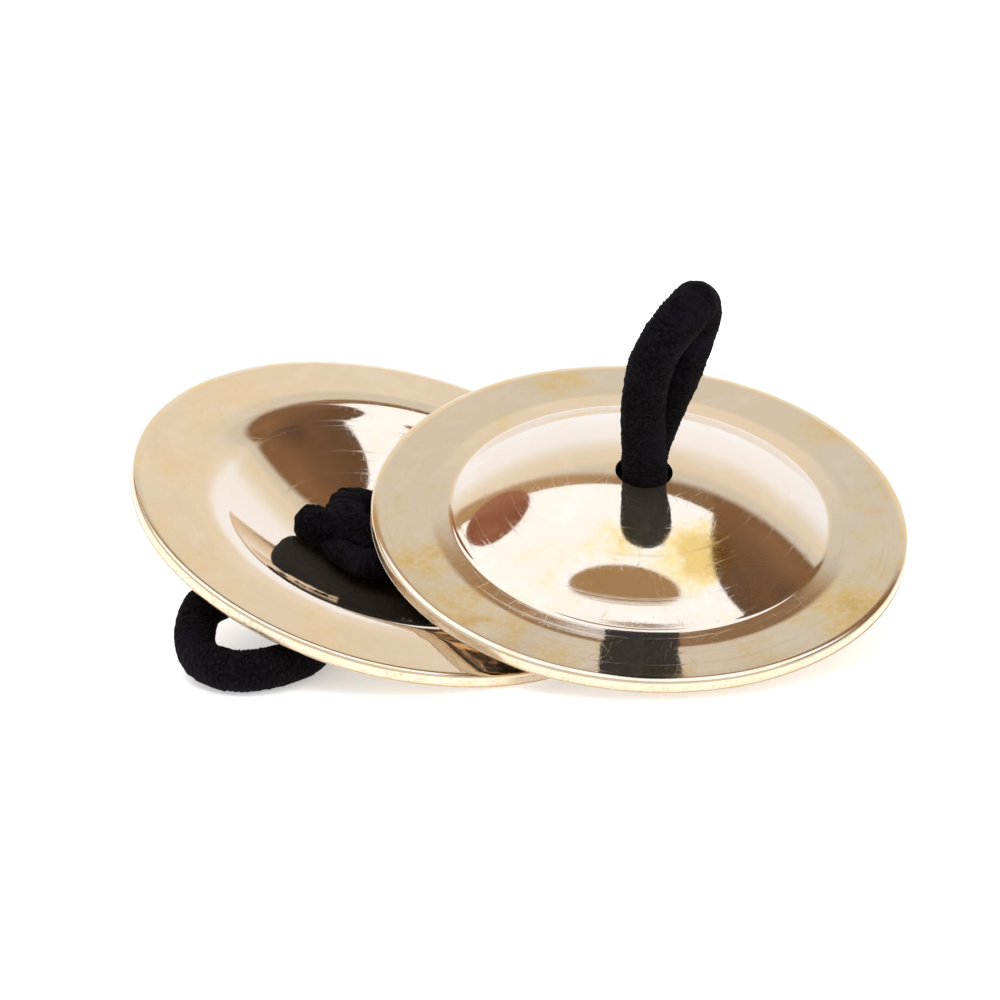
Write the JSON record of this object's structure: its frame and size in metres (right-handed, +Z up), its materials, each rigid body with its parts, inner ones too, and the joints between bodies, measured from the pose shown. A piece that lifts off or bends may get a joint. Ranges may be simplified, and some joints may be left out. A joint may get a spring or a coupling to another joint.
{
  "type": "finger cymbals",
  "caption": "Pair of small domed brass hand cymbals, each with a knotted elastic finger loop, one leaning on the other.",
  "frame": {"origin": "on the floor, under the middle of the pair's outline", "axes": "+Z up, +X from the bowl-up cymbal towards the dome-up one, +Y away from the side they are usually seen from"},
  "size_m": [0.0866, 0.0588, 0.0416],
  "materials": {
    "polished_brass": "polished, lightly brushed and tarnished",
    "black_covered_cord": "fuzzy ribbed textile cover",
    "rubber_core": "matte cut rubber"
  },
  "bodies": {
    "left_cymbal_body": {"left_cymbal": "polished_brass", "left_knot_cover": "black_covered_cord", "left_tail_core_1": "rubber_core", "left_tail_core_2": "rubber_core"},
    "left_neck_body": {"left_neck_cover": "black_covered_cord", "left_neck_core": "rubber_core"},
    "left_loop_body": {"left_loop_cover": "black_covered_cord", "left_loop_core": "rubber_core"},
    "right_cymbal_body": {"right_cymbal": "polished_brass", "right_knot_cover": "black_covered_cord", "right_tail_core_1": "rubber_core", "right_tail_core_2": "rubber_core"},
    "right_neck_body": {"right_neck_cover": "black_covered_cord", "right_neck_core": "rubber_core"},
    "right_loop_body": {"right_loop_cover": "black_covered_cord", "right_loop_core": "rubber_core"}
  },
  "joints": [
    {"name": "left_neck_twist", "type": "hinge", "parent": "left_cymbal_body", "child": "left_neck_body", "pos_m": [-0.01563, 0.00253, 0.00489], "axis": [-0.2291, 0.2819, -0.9317], "range_deg": [-90, 90]},
    {"name": "left_loop_tilt", "type": "hinge", "parent": "left_neck_body", "child": "left_loop_body", "pos_m": [-0.01618, 0.0032, 0.00265], "axis": [0.7096, -0.6069, -0.3581], "range_deg": [0, 150]},
    {"name": "right_lift", "type": "slide", "parent": "left_cymbal_body", "child": "right_cymbal_body", "axis": [0, 0, 1], "range_m": [0, 0.06]},
    {"name": "right_neck_twist", "type": "hinge", "parent": "right_cymbal_body", "child": "right_neck_body", "pos_m": [0.01371, -0.00319, 0.01813], "axis": [0.0565, -0.324, 0.9444], "range_deg": [-90, 90]},
    {"name": "right_loop_tilt", "type": "hinge", "parent": "right_neck_body", "child": "right_loop_body", "pos_m": [0.01384, -0.00397, 0.0204], "axis": [-0.0194, -0.9461, -0.3234], "range_deg": [-60, 75], "stiffness_Nm_per_rad": 0.004}
  ]
}
